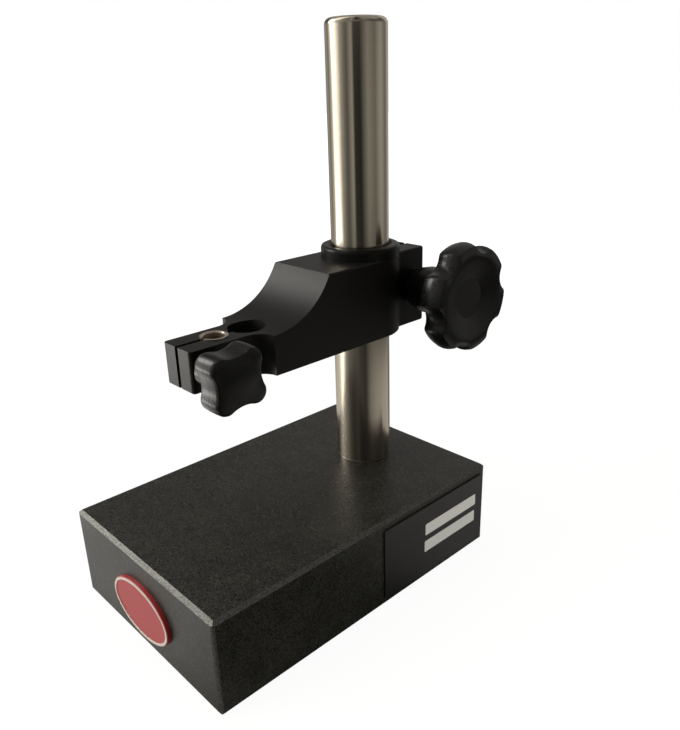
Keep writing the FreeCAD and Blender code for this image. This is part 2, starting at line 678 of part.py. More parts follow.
def stem_knob():
    """Four-lobed knob on a short round hub."""
    disc = moulded_disc(stem_knob_outline, STEM_KNOB_BACK_X, STEM_KNOB_BACK_X + STEM_KNOB_DISC,
                        STEM_KNOB_EDGE_ROUND, STEM_KNOB_CROWN)
    y = STEM_CLAMP_Y
    z = STEM_CLAMP_Z
    hub = sideways(STEM_HUB_X, y, z, STEM_KNOB_HUB_RADIUS, STEM_KNOB_HUB_LENGTH + STEM_KNOB_DISC / 2)
    end = [edge for edge in hub.Edges if same(edge.BoundBox.XMax, STEM_HUB_X)]
    hub = hub.makeChamfer(STEM_KNOB_HUB_BEVEL, end)
    knob = disc.fuse(hub)
    seat = sideways(STEM_HUB_X - PAST, y, z, STEM_BOSS_RADIUS, STEM_BOSS_LENGTH + PAST)
    return knob.cut(seat)


def oval(length, height, y, thickness):
    """An oval slab that stands out from y towards the front."""
    ellipse = Part.Ellipse(V(0, y, BADGE_MIDDLE_HEIGHT), length / 2, height / 2)
    edge = ellipse.toShape()
    edge.rotate(V(0, y, BADGE_MIDDLE_HEIGHT), V(1, 0, 0), 90)
    return Part.Face(Part.Wire([edge])).extrude(V(0, -thickness, 0))


def badge_body():
    """Oval badge with a seat for its rim, glued to the stone."""
    wall_y = -BASE_LENGTH / 2
    slab = oval(BADGE_LENGTH, BADGE_HEIGHT, wall_y, BADGE_THICKNESS)
    front = [edge for edge in slab.Edges if same(edge.BoundBox.YMax, wall_y - BADGE_THICKNESS)]
    slab = slab.makeChamfer(BADGE_EDGE_BEVEL, front)
    return slab.cut(badge_ring(BADGE_RIM_GAP, BADGE_RIM_SEAT + PAST))


def badge_ring(gap, height):
    """The rim's oval, or its seat when there is a gap."""
    seat_y = BADGE_RIM_SEAT - BASE_LENGTH / 2 - BADGE_THICKNESS
    outer = -2 * BADGE_RIM_MARGIN + 2 * gap - 2 * BADGE_RIM_GAP
    inner = -2 * BADGE_RIM_MARGIN - 2 * BADGE_RIM - 2 * gap
    ring = oval(BADGE_LENGTH + outer, BADGE_HEIGHT + outer, seat_y, height)
    return ring.cut(oval(BADGE_LENGTH + inner, BADGE_HEIGHT + inner, seat_y + PAST, height + 2 * PAST))


def badge_rim():
    """Pale raised rim round the badge's face."""
    return badge_ring(0, BADGE_RIM_SEAT + BADGE_RIM_PROUD)


def name_plate():
    """Thin plate glued to the right face."""
    x = BASE_WIDTH / 2
    rear_y = BASE_LENGTH / 2 - PLATE_TO_REAR
    top_z = BASE_HEIGHT - PLATE_UNDER_EDGE
    plate = block(x, x + PLATE_THICKNESS, rear_y - PLATE_LENGTH, rear_y, top_z - PLATE_HEIGHT, top_z)
    corners = [edge for edge in plate.Edges if same(edge.BoundBox.XLength, PLATE_THICKNESS)]
    return plate.makeFillet(PLATE_CORNER_ROUND, corners)


PIECES = [
    base_block, base_bush, column, column_screw, column_washer, column_spring_washer,
    badge_body, badge_rim, name_plate,
    arm, arm_bush, stem_sleeve, clamp_thread_bush,
    clamp_knob, clamp_knob_cap, clamp_screw, clamp_washer,
    stem_knob, stem_screw, stem_washer,
]

os.makedirs("parts", exist_ok=True)
for piece in PIECES:
    shape = piece()
    name = piece.__name__
    solids = shape.Solids
    if len(solids) != 1 or not shape.isValid():
        raise ValueError(name + " is not one sound solid")
    solids[0].exportStep("parts/" + name + ".step")
    print(name, round(solids[0].Volume, 1), len(solids[0].Faces))
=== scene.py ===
import json
import math

import bpy
from mathutils import Matrix, Vector

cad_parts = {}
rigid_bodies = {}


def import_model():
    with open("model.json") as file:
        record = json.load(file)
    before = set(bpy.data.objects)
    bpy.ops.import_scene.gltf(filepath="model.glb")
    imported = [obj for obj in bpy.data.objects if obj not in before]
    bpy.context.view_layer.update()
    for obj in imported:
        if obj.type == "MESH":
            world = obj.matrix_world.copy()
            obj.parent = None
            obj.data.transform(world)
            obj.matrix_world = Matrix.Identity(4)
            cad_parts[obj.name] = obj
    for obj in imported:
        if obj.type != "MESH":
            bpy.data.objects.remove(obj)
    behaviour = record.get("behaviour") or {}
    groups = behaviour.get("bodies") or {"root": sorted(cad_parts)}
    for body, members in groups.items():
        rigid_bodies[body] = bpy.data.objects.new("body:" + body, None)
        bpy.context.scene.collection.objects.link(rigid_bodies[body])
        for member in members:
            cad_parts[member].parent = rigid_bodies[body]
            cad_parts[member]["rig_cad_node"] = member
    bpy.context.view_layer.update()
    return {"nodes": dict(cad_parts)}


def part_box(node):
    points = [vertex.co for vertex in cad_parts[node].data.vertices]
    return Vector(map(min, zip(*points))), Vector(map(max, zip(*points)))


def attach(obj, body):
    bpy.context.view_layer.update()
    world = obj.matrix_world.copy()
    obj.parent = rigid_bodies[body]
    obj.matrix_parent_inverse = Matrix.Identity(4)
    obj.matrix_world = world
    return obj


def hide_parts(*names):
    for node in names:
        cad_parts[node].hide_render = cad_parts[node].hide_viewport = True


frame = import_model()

bl_info = {
    "name": "Comparator Stand",
    "version": (1, 0, 0),
    "blender": (4, 5, 0),
    "location": "View3D > Sidebar > Stand",
    "description": "Finishes of a granite comparator stand, the bars on its plate, and its studio",
    "category": "Object",
}

NODES = frame["nodes"]
MM = 0.001


def middle(node):
    """The middle of a node's box, in metres."""
    low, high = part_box(node)
    return (low + high) / 2


# Axes that the finishes follow
COLUMN_AXIS = middle("column")
SLEEVE_AXIS = middle("stem_sleeve")
CLAMP_AXIS = middle("clamp_washer")
STEM_AXIS = middle("stem_washer")

# A chip in the stone's front face, with painted shade in its hollow: its middle, and the radii at which it
# begins and is full
PIT_MIDDLE = (34.2 * MM, -75.0 * MM, 27.8 * MM)
PIT_EDGE = 0.9 * MM
PIT_CORE = 0.4 * MM

# Between these radii the sleeve's bright rim turns into its brown bore
SLEEVE_RIM = 4.5 * MM
SLEEVE_BORE = 4.1 * MM

# Each knob: its node, its finish, and the thickness of its star, whose mould parts in the middle
KNOBS = (
    ("clamp_knob", "moulded_nylon_large_knob", 10.6 * MM),
    ("stem_knob", "moulded_nylon_small_knob", 11.2 * MM),
)
KNOB_SMOOTH_ANGLE = math.radians(38)

# A narrow border of faces round a bar's front
BAR_INSET = 0.2 * MM

# Each screw: its node, its axis and the way that it runs, and its thread's pitch and radius
SCREWS = (
    ("clamp_screw", CLAMP_AXIS, "X", 1.25 * MM, 4.0 * MM),
    ("stem_screw", STEM_AXIS, "X", 0.8 * MM, 2.5 * MM),
    ("column_screw", COLUMN_AXIS, "Z", 1.25 * MM, 4.0 * MM),
)


def linear(hex_colour):
    """An sRGB colour such as 2b2a27, as linear red, green, blue and alpha."""
    values = []
    for start in (0, 2, 4):
        share = int(hex_colour[start:start + 2], 16) / 255
        values.append(share / 12.92 if share <= 0.04045 else ((share + 0.055) / 1.055) ** 2.4)
    return (*values, 1.0)


def colour(name, description, hex_colour):
    """A colour that the user can change, with an sRGB hex value as its default."""
    return bpy.props.FloatVectorProperty(name=name, description=description, subtype="COLOR",
                                         size=4, min=0.0, max=1.0, default=linear(hex_colour))


def length(name, description, millimetres):
    """A length that the user can change, with a default in millimetres."""
    return bpy.props.FloatProperty(name=name, description=description, unit="LENGTH",
                                   subtype="DISTANCE", min=0.0, default=millimetres * MM)


class StandFinishes(bpy.types.PropertyGroup):
    """Colours of the stand's finishes"""
    granite: colour("Granite", "Ground colour of the lapped stone", "181814")
    granite_fleck: colour("Granite flecks", "Pale crystals in the stone", "58574d")
    granite_edge: colour("Granite edges", "Ground bevels, whose broken crystals glint", "7a7a76")
    column: colour("Column", "Ground stainless steel", "c9c0ae")
    arm: colour("Arm", "Blasted and black-anodised aluminium", "0c0b0a")
    knob: colour("Knobs", "Moulded black nylon", "0c0c0b")
    bush: colour("Bush", "Turned black acetal", "0d0d0c")
    sleeve: colour("Sleeve", "Bright nickel on the sleeve", "d8cdbd")
    badge: colour("Badge", "Moulded red of the badge", "a62426")
    badge_rim: colour("Badge rim", "Pale rim of the badge", "dccfc2")
    plate: colour("Name plate", "Dark satin plate", "1a1a18")
    bar: colour("Plate bars", "Bare silver bars on the plate", "e8e8e3")
    oxide: colour("Black screws", "Black-oxide steel", "2a2928")
    zinc: colour("Bright fixings", "Zinc-plated steel", "c3c5c6")


class StandSizes(bpy.types.PropertyGroup):
    """Sizes and places of the bars on the name plate, and the grain of the stone and the arm"""
    bar_length: length("Bar length", "Length of each bare bar on the name plate", 35.0)
    bar_height: length("Bar height", "Height of each bare bar on the name plate", 5.5)
    bar_thickness: length("Bar thickness", "How far a bar stands out of the plate", 0.03)
    bar_round: length("Bar corner", "Radius of a bar's corners", 0.5)
    upper_bar_y: length("Upper bar, along", "Middle of the upper bar along the plate", 50.1)
    upper_bar_z: length("Upper bar, up", "Middle of the upper bar above the foot", 24.7)
    lower_bar_y: length("Lower bar, along", "Middle of the lower bar along the plate", 49.7)
    lower_bar_z: length("Lower bar, up", "Middle of the lower bar above the foot", 16.4)
    grain: length("Granite grain", "Width of a crystal in the stone", 0.6)
    blast: length("Blasted grain", "Width of a dimple on the arm", 0.6)


def wire(tree, node, links):
    """Links sockets, or the first outputs of nodes, to a node's inputs."""
    for key, source in links.items():
        socket = source.outputs[0] if isinstance(source, bpy.types.Node) else source
        tree.links.new(socket, node.inputs[key])


def add(tree, kind, settings=None, links=None):
    """Adds a shader node with its settings and links."""
    node = tree.nodes.new("ShaderNode" + kind)
    for key, value in (settings or {}).items():
        if isinstance(key, int) or key in node.inputs:
            node.inputs[key].default_value = value
        else:
            setattr(node, key, value)
    wire(tree, node, links or {})
    return node


def new_finish(name, values):
    """A material with one shader: gives itself, its nodes, the shader and the object's coordinates."""
    finish = bpy.data.materials.new(name)
    finish.use_nodes = True
    tree = finish.node_tree
    shader = tree.nodes["Principled BSDF"]
    for key, value in values.items():
        shader.inputs[key].default_value = value
    place = add(tree, "TexCoord").outputs["Object"]
    return finish, tree, shader, place


def dress(names, finish):
    """Gives the CAD nodes their finish."""
    for name in names:
        materials = NODES[name].data.materials
        materials.clear()
        materials.append(finish)


def radius_about(tree, place, axis, along):
    """Distance from an axis that runs along X or Z through a point."""
    keep = (0.0, 1.0, 1.0) if along == "X" else (1.0, 1.0, 0.0)
    moved = add(tree, "VectorMath", {"operation": "SUBTRACT", 1: tuple(axis)}, {0: place})
    flat = add(tree, "VectorMath", {"operation": "MULTIPLY", 1: keep}, {0: moved})
    return add(tree, "VectorMath", {"operation": "LENGTH"}, {0: flat}).outputs["Value"]


def off_square(tree):
    """1 on bevels and rounded edges, 0 on faces that look along an axis."""
    facing = add(tree, "TexCoord").outputs["Normal"]
    sizes = add(tree, "VectorMath", {"operation": "ABSOLUTE"}, {0: facing})
    parts = add(tree, "SeparateXYZ", {}, {0: sizes})
    wider = add(tree, "Math", {"operation": "MAXIMUM"}, {0: parts.outputs["X"], 1: parts.outputs["Y"]})
    widest = add(tree, "Math", {"operation": "MAXIMUM"}, {0: wider, 1: parts.outputs["Z"]})
    return add(tree, "MapRange", {"From Min": 0.97, "From Max": 0.85}, {"Value": widest})


def granite_crystals(tree, place, tone, colours, grain):
    """The stone's colour: mottled dark crystals in slow drifts, and pale flecks among them."""
    cloud = add(tree, "TexNoise", {"Scale": grain / 18, "Detail": 3.0, "Roughness": 0.65}, {"Vector": place})
    drift = add(tree, "MapRange", {"From Min": 0.35, "From Max": 0.65, "To Min": 0.75, "To Max": 1.25},
                {"Value": cloud})
    spread = add(tree, "MapRange", {"From Min": 0.38, "From Max": 0.64, "To Min": 0.1, "To Max": 3.0},
                 {"Value": tone})
    share = add(tree, "Math", {"operation": "MULTIPLY"}, {0: spread, 1: drift})
    ground = add(tree, "VectorMath", {"operation": "SCALE", 0: tuple(colours.granite)[:3]}, {"Scale": share})
    cells = add(tree, "TexVoronoi", {"Scale": grain * 0.75, "Randomness": 1.0}, {"Vector": place})
    pick = add(tree, "SeparateColor", {}, {"Color": cells.outputs["Color"]})
    chosen = add(tree, "MapRange", {"From Min": 0.6, "From Max": 1.0, "To Max": 0.9},
                 {"Value": pick.outputs["Red"]})
    inside = add(tree, "MapRange", {"From Min": 0.5, "From Max": 0.2}, {"Value": cells.outputs["Distance"]})
    fleck = add(tree, "Math", {"operation": "MULTIPLY"}, {0: chosen, 1: inside})
    return add(tree, "Mix", {"data_type": "RGBA", 7: tuple(colours.granite_fleck)},
               {0: fleck, 6: ground}).outputs[2]


def granite_finish(colours, sizes):
    """Black granite, lapped: fine dark crystals with pale flecks and a dull sheen. Its bevels glint."""
    finish, tree, shader, place = new_finish("lapped_black_granite",
                                             {"IOR": 1.54, "Specular IOR Level": 0.29})
    grain = 1 / sizes.grain
    tone = add(tree, "TexNoise", {"Scale": grain, "Detail": 3.0, "Roughness": 0.8}, {"Vector": place})
    crystals = granite_crystals(tree, place, tone, colours, grain)
    edge = off_square(tree)
    broken = add(tree, "MapRange", {"From Min": 0.38, "From Max": 0.62, "To Min": 0.3, "To Max": 1.0},
                 {"Value": tone})
    worn = add(tree, "Math", {"operation": "MULTIPLY"}, {0: edge, 1: broken})
    bevelled = add(tree, "Mix", {"data_type": "RGBA", 7: tuple(colours.granite_edge)}, {0: worn, 6: crystals})
    from_pit = add(tree, "VectorMath", {"operation": "DISTANCE", 1: PIT_MIDDLE}, {0: place})
    pit = add(tree, "MapRange", {"From Min": PIT_EDGE, "From Max": PIT_CORE},
              {"Value": from_pit.outputs["Value"]})
    # Painted shade: the chip's hollow is drawn near black
    pit_shaded = add(tree, "Mix", {"data_type": "RGBA", 7: linear("080807")}, {0: pit, 6: bevelled.outputs[2]})
    dull = add(tree, "MapRange", {"From Min": 0.36, "From Max": 0.64, "To Min": 0.22, "To Max": 0.5},
               {"Value": tone})
    rough = add(tree, "Mix", {"data_type": "FLOAT", 3: 0.36}, {0: edge, 2: dull})
    # Stone holds no metal: this lets the bevels mirror the window as strongly as broken crystals do.
    glint = add(tree, "MapRange", {"To Max": 0.85}, {"Value": edge})
    height = add(tree, "Math", {"operation": "SUBTRACT"}, {0: tone, 1: pit})
    bump = add(tree, "Bump", {"Strength": 0.4, "Distance": 0.12 * MM}, {"Height": height})
    wire(tree, shader, {"Base Color": pit_shaded.outputs[2], "Roughness": rough, "Metallic": glint,
                        "Normal": bump})
    return finish


def ground_steel_finish(colours):
    """Stainless steel, ground between centres: fine rings round it blur its reflections lengthwise."""
    finish, tree, shader, place = new_finish("ground_stainless_steel", {
        "Base Color": tuple(colours.column), "Metallic": 1.0,
        "Anisotropic": 0.95, "Anisotropic Rotation": 0.25})
    # The grinding marks are about 0.05 mm apart; they are drawn 0.3 mm apart, so that they show.
    rings = add(tree, "Mapping", {"Scale": (60.0, 60.0, 3300.0)}, {"Vector": place})
    marks = add(tree, "TexNoise", {"Scale": 1.0, "Detail": 2.0, "Roughness": 0.6}, {"Vector": rings})
    rough = add(tree, "MapRange", {"To Min": 0.13, "To Max": 0.2}, {"Value": marks})
    around = add(tree, "Tangent", {"direction_type": "RADIAL", "axis": "Z"})
    bump = add(tree, "Bump", {"Strength": 0.04, "Distance": 0.005 * MM}, {"Height": marks})
    wire(tree, shader, {"Roughness": rough, "Tangent": around, "Normal": bump})
    return finish


def anodised_finish(colours, sizes):
    """Aluminium, milled, blasted and black-anodised: a satin black with a fine even grain."""
    finish, tree, shader, place = new_finish("blasted_black_anodised",
                                             {"IOR": 1.6, "Specular IOR Level": 0.17})
    grain = add(tree, "TexNoise", {"Scale": 1 / sizes.blast, "Detail": 2.0, "Roughness": 0.6},
                {"Vector": place})
    share = add(tree, "MapRange", {"From Min": 0.3, "From Max": 0.7, "To Min": 0.6, "To Max": 1.6},
                {"Value": grain})
    ground = add(tree, "VectorMath", {"operation": "SCALE", 0: tuple(colours.arm)[:3]}, {"Scale": share})
    rough = add(tree, "MapRange", {"To Min": 0.36, "To Max": 0.52}, {"Value": grain})
    bump = add(tree, "Bump", {"Strength": 0.4, "Distance": 0.06 * MM}, {"Height": grain})
    wire(tree, shader, {"Base Color": ground, "Roughness": rough, "Normal": bump})
    return finish


def nylon_finish(name, colours, parting_x):
    """Nylon, injection-moulded: satin black with faint specks, and a fine ridge where the mould parted."""
    finish, tree, shader, place = new_finish(name, {"Base Color": tuple(colours.knob), "IOR": 1.53,
                                                    "Specular IOR Level": 0.26})
    specks = add(tree, "TexNoise", {"Scale": 1 / (0.6 * MM), "Detail": 2.0}, {"Vector": place})
    rough = add(tree, "MapRange", {"To Min": 0.22, "To Max": 0.38}, {"Value": specks})
    parts = add(tree, "SeparateXYZ", {}, {0: place})
    off = add(tree, "Math", {"operation": "SUBTRACT", 1: parting_x}, {0: parts.outputs["X"]})
    away = add(tree, "Math", {"operation": "ABSOLUTE"}, {0: off})
    ridge = add(tree, "MapRange", {"From Min": 0.25 * MM, "From Max": 0.0, "To Max": 2.0}, {"Value": away})
    height = add(tree, "Math", {"operation": "ADD"}, {0: ridge, 1: specks})
    bump = add(tree, "Bump", {"Strength": 0.3, "Distance": 0.04 * MM}, {"Height": height})
    wire(tree, shader, {"Roughness": rough, "Normal": bump})
    return finish


def turned_finish(name, ground, values, axis, pitch, depth):
    """A turned surface: fine rings about its axis, as the tool leaves them, on top of the given values."""
    finish, tree, shader, place = new_finish(name, {"Base Color": tuple(ground), **values})
    radius = radius_about(tree, place, axis, "Z")
    parts = add(tree, "SeparateXYZ", {}, {0: place})
    run = add(tree, "Math", {"operation": "ADD"}, {0: radius, 1: parts.outputs["Z"]})
    turns = add(tree, "Math", {"operation": "MULTIPLY", 1: 2 * math.pi / pitch}, {0: run})
    wave = add(tree, "Math", {"operation": "SINE"}, {0: turns})
    bump = add(tree, "Bump", {"Strength": 0.4, "Distance": depth}, {"Height": wave})
    stain = add(tree, "TexNoise", {"Scale": 1 / (2 * MM), "Detail": 3.0}, {"Vector": place})
    swing = 0.06
    rough = add(tree, "MapRange", {"To Min": values["Roughness"] - swing,
                                   "To Max": values["Roughness"] + swing}, {"Value": stain})
    wire(tree, shader, {"Roughness": rough, "Normal": bump})
    return finish, tree, shader, radius


def threaded_finish(name, ground, values, axis, along, pitch, thread_radius):
    """Screw steel with its thread: a helical groove on the shank, smooth where the piece is wider."""
    finish, tree, shader, place = new_finish(name, {"Base Color": tuple(ground), **values})
    moved = add(tree, "VectorMath", {"operation": "SUBTRACT", 1: tuple(axis)}, {0: place})
    parts = add(tree, "SeparateXYZ", {}, {0: moved})
    across, up, lengthwise = ("Y", "Z", "X") if along == "X" else ("X", "Y", "Z")
    angle = add(tree, "Math", {"operation": "ARCTAN2"}, {0: parts.outputs[up], 1: parts.outputs[across]})
    run = add(tree, "Math", {"operation": "MULTIPLY", 1: 2 * math.pi / pitch}, {0: parts.outputs[lengthwise]})
    phase = add(tree, "Math", {"operation": "ADD"}, {0: run, 1: angle})
    wave = add(tree, "Math", {"operation": "SINE"}, {0: phase})
    radius = radius_about(tree, place, axis, along)
    shank = add(tree, "Math", {"operation": "LESS_THAN", 1: thread_radius + 0.1 * MM}, {0: radius})
    thread = add(tree, "Math", {"operation": "MULTIPLY"}, {0: wave, 1: shank})
    stain = add(tree, "TexNoise", {"Scale": 1 / (0.8 * MM), "Detail": 3.0}, {"Vector": place})
    height = add(tree, "Math", {"operation": "MULTIPLY_ADD", 1: 0.1}, {0: stain, 2: thread})
    bump = add(tree, "Bump", {"Strength": 1.0, "Distance": pitch / 4}, {"Height": height})
    rough = add(tree, "MapRange", {"To Min": 0.34, "To Max": 0.55}, {"Value": stain})
    wire(tree, shader, {"Roughness": rough, "Normal": bump})
    return finish


def speckled_finish(name, ground, values, grain, depth):
    """A plain surface with a fine grain in its colour, gloss and height."""
    finish, tree, shader, place = new_finish(name, values)
    noise = add(tree, "TexNoise", {"Scale": 1 / grain, "Detail": 3.0, "Roughness": 0.6}, {"Vector": place})
    share = add(tree, "MapRange", {"From Min": 0.3, "From Max": 0.7, "To Min": 0.88, "To Max": 1.12},
                {"Value": noise})
    shade = add(tree, "VectorMath", {"operation": "SCALE", 0: tuple(ground)[:3]}, {"Scale": share})
    swing = 0.08
    rough = add(tree, "MapRange", {"To Min": values["Roughness"] - swing,
                                   "To Max": values["Roughness"] + swing}, {"Value": noise})
    bump = add(tree, "Bump", {"Strength": 0.3, "Distance": depth}, {"Height": noise})
    wire(tree, shader, {"Base Color": shade, "Roughness": rough, "Normal": bump})
    return finish


class STAND_OT_stone(bpy.types.Operator):
    """Finishes the granite base"""
    bl_idname = "stand.stone"
    bl_label = "Granite base"

    def execute(self, context):
        scene = context.scene
        dress(["base_block"], granite_finish(scene.stand_finishes, scene.stand_sizes))
        return {"FINISHED"}


class STAND_OT_column(bpy.types.Operator):
    """Finishes the column, the bush that it stands in and its washer"""
    bl_idname = "stand.column"
    bl_label = "Column"

    def execute(self, context):
        colours = context.scene.stand_finishes
        dress(["column"], ground_steel_finish(colours))
        # Zinc-plated steel, turned: a cool dull silver with the tool's rings
        zinc = turned_finish("turned_zinc_plated_steel", colours.zinc, {"Metallic": 1.0, "Roughness": 0.34},
                             COLUMN_AXIS, 0.4 * MM, 0.02 * MM)[0]
        dress(["base_bush", "column_washer"], zinc)
        return {"FINISHED"}


class STAND_OT_arm(bpy.types.Operator):
    """Finishes the arm, the flanged bush and the stem sleeve"""
    bl_idname = "stand.arm"
    bl_label = "Arm"

    def execute(self, context):
        scene = context.scene
        colours = scene.stand_finishes
        dress(["arm"], anodised_finish(colours, scene.stand_sizes))
        # Acetal, turned: waxy black with the tool's rings
        bush = turned_finish("turned_black_acetal", colours.bush,
                             {"IOR": 1.48, "Roughness": 0.3, "Specular IOR Level": 0.16},
                             COLUMN_AXIS, 0.6 * MM, 0.02 * MM)[0]
        dress(["arm_bush"], bush)
        # Nickel over turned steel: a warm bright rim, and a bore drawn browner and less metallic
        nickel, tree, shader, radius = turned_finish(
            "bright_nickel_plate", colours.sleeve, {"Metallic": 1.0, "Roughness": 0.22}, SLEEVE_AXIS,
            0.3 * MM, 0.01 * MM)
        bore = add(tree, "MapRange", {"From Min": SLEEVE_RIM, "From Max": SLEEVE_BORE}, {"Value": radius})
        bore_tint = add(tree, "Mix", {"data_type": "RGBA", 6: tuple(colours.sleeve), 7: linear("6e5f50")},
                      {0: bore})
        bore_metallic = add(tree, "MapRange", {"To Min": 1.0, "To Max": 0.3}, {"Value": bore})
        wire(tree, shader, {"Base Color": bore_tint.outputs[2], "Metallic": bore_metallic})
        dress(["stem_sleeve"], nickel)
        return {"FINISHED"}


class STAND_OT_knobs(bpy.types.Operator):
    """Finishes both knobs and the large knob's cap"""
    bl_idname = "stand.knobs"
    bl_label = "Knobs"

    def execute(self, context):
        colours = context.scene.stand_finishes
        for node, name, thickness in KNOBS:
            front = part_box(node)[1][0]
            moulding = smooth_copy(node)
            moulding.data.materials.clear()
            moulding.data.materials.append(nylon_finish(name, colours, front - thickness / 2))
            # Each knob's body has the name of its node.
            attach(moulding, node)
            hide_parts(node)
        # Moulded cap: the knob's black, a little duller
        cap = speckled_finish("moulded_cap", colours.knob,
                              {"IOR": 1.5, "Roughness": 0.44, "Specular IOR Level": 0.34},
                              0.5 * MM, 0.02 * MM)
        dress(["clamp_knob_cap"], cap)
        return {"FINISHED"}


def smooth_copy(node):
    """A copy of a CAD node whose facets are merged, so that its moulded rounds shade as one surface."""
    bpy.ops.object.select_all(action="DESELECT")
    source = NODES[node]
    source.select_set(True)
    bpy.context.view_layer.objects.active = source
    bpy.ops.object.duplicate()
    copy = bpy.context.object
    copy.name = node + "_moulding"
    del copy["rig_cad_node"]
    bpy.ops.mesh.customdata_custom_splitnormals_clear()
    bpy.ops.object.mode_set(mode="EDIT")
    bpy.ops.mesh.select_all(action="SELECT")
    bpy.ops.mesh.remove_doubles(threshold=0.002 * MM)
    bpy.ops.object.mode_set(mode="OBJECT")
    bpy.ops.object.shade_smooth_by_angle(angle=KNOB_SMOOTH_ANGLE)
    return copy


class STAND_OT_fixings(bpy.types.Operator):
    """Finishes the screws, washers and the threaded bush"""
    bl_idname = "stand.fixings"
    bl_label = "Screws and washers"

    def execute(self, context):
        colours = context.scene.stand_finishes
        # Black-oxide screws: dark oily steel, rolled threads
        for node, axis, along, pitch, radius in SCREWS:
            finish = threaded_finish("black_oxide_" + node, colours.oxide, {"Metallic": 1.0}, axis, along,
                                     pitch, radius)
            dress([node], finish)
        # Black-oxide washers: punched, so only faintly mottled
        oxide = speckled_finish("black_oxide_washer", colours.oxide, {"Metallic": 1.0, "Roughness": 0.45},
                                0.8 * MM, 0.02 * MM)
        dress(["clamp_washer", "stem_washer", "column_spring_washer"], oxide)
        # Zinc-plated bush: a bright cool ring in the far ear
        zinc = speckled_finish("zinc_plated_bush", colours.zinc, {"Metallic": 1.0, "Roughness": 0.36},
                               0.8 * MM, 0.01 * MM)
        dress(["clamp_thread_bush"], zinc)
        return {"FINISHED"}


class STAND_OT_badge(bpy.types.Operator):
    """Finishes the oval badge and its rim"""
    bl_idname = "stand.badge"
    bl_label = "Badge"

    def execute(self, context):
        colours = context.scene.stand_finishes
        # Moulded badge: a satin red with hardly any grain
        red = speckled_finish("moulded_red_badge", colours.badge, {"IOR": 1.5, "Roughness": 0.38},
                              0.7 * MM, 0.01 * MM)
        dress(["badge_body"], red)
        # Its rim: the same moulding in a pale cream
        rim = speckled_finish("pale_badge_rim", colours.badge_rim, {"IOR": 1.5, "Roughness": 0.4},
                              0.7 * MM, 0.01 * MM)
        dress(["badge_rim"], rim)
        return {"FINISHED"}


class STAND_OT_name_plate(bpy.types.Operator):
    """Finishes the name plate and lays two bare bars on it"""
    bl_idname = "stand.name_plate"
    bl_label = "Name plate"

    def execute(self, context):
        colours = context.scene.stand_finishes
        sizes = context.scene.stand_sizes
        # Anodised plate: a dark satin sheet
        plate = speckled_finish("dark_satin_plate", colours.plate, {"IOR": 1.5, "Roughness": 0.4},
                                0.5 * MM, 0.01 * MM)
        dress(["name_plate"], plate)
        # Bare bars: printed silver, brushed along their length
        silver, tree, shader, place = new_finish("printed_silver_bar", {"Metallic": 0.2, "Roughness": 0.42})
        brushed = add(tree, "Mapping", {"Scale": (3000.0, 120.0, 3000.0)}, {"Vector": place})
        streak = add(tree, "TexNoise", {"Scale": 1.0, "Detail": 2.0}, {"Vector": brushed})
        share = add(tree, "MapRange", {"To Min": 0.85, "To Max": 1.1}, {"Value": streak})
        shade = add(tree, "VectorMath", {"operation": "SCALE", 0: tuple(colours.bar)[:3]}, {"Scale": share})
        wire(tree, shader, {"Base Color": shade})
        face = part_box("name_plate")[1][0]
        for name, y, z in (("plate_bar_upper", sizes.upper_bar_y, sizes.upper_bar_z),
                           ("plate_bar_lower", sizes.lower_bar_y, sizes.lower_bar_z)):
            bar = lay_bar(name, Vector((face, y, z)), sizes)
            bar.data.materials.append(silver)
            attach(bar, "base")
        return {"FINISHED"}


def lay_bar(name, spot, sizes):
    """A thin strip with round corners and an inset front, laid on the plate."""
    bpy.ops.object.select_all(action="DESELECT")
    centre = spot + Vector((sizes.bar_thickness / 2, 0, 0))
    bpy.ops.mesh.primitive_cube_add(size=1.0, location=centre)
    bar = bpy.context.object
    bar.name = name
    bpy.ops.transform.resize(value=(sizes.bar_thickness, sizes.bar_length, sizes.bar_height))
    bpy.ops.object.transform_apply(location=True, rotation=True, scale=True)
    bpy.ops.object.mode_set(mode="EDIT")
    bpy.ops.mesh.select_mode(type="EDGE")
    bpy.ops.mesh.select_all(action="DESELECT")
    bpy.ops.object.mode_set(mode="OBJECT")
    for edge in bar.data.edges:
        start, end = (bar.data.vertices[index].co for index in edge.vertices)
        edge.select = abs(start.x - end.x) > sizes.bar_thickness / 2
    bpy.ops.object.mode_set(mode="EDIT")
    bpy.ops.mesh.bevel(offset=sizes.bar_round, segments=4, affect="EDGES")
    bpy.ops.mesh.select_all(action="DESELECT")
    bpy.ops.object.mode_set(mode="OBJECT")
    front = max(vertex.co.x for vertex in bar.data.vertices)
    near = 0.001 * MM
    for polygon in bar.data.polygons:
        polygon.select = all(abs(bar.data.vertices[index].co.x - front) < near for index in polygon.vertices)
    bpy.ops.object.mode_set(mode="EDIT")
    bpy.ops.mesh.select_mode(type="FACE")
    bpy.ops.mesh.inset(thickness=BAR_INSET, depth=0.0)
    bpy.ops.object.mode_set(mode="OBJECT")
    return bar


class STAND_OT_stage(bpy.types.Operator):
    """Builds the floor, the surround that the steel reflects, the lights and the camera"""
    bl_idname = "stand.stage"
    bl_label = "Studio"

    def execute(self, context):
        make_floor()
        make_surround()
        make_world(context.scene)
        make_lights()
        make_camera(context.scene)
        context.scene.view_settings.view_transform = "Standard"
        return {"FINISHED"}


FLOOR_SIZE = 8.0
FLOOR_DROP = 0.05 * MM
# How much of the floor's white glow the camera sees: less near the object, so that the shadow shows,
# rising to all of it between these distances from the frame's origin. A mirror sees a small share.
FLOOR_NEAR = 0.25
FLOOR_FAR = 0.8
FLOOR_GLOW_NEAR = 0.745
FLOOR_GLOW_MIRRORED = 0.15


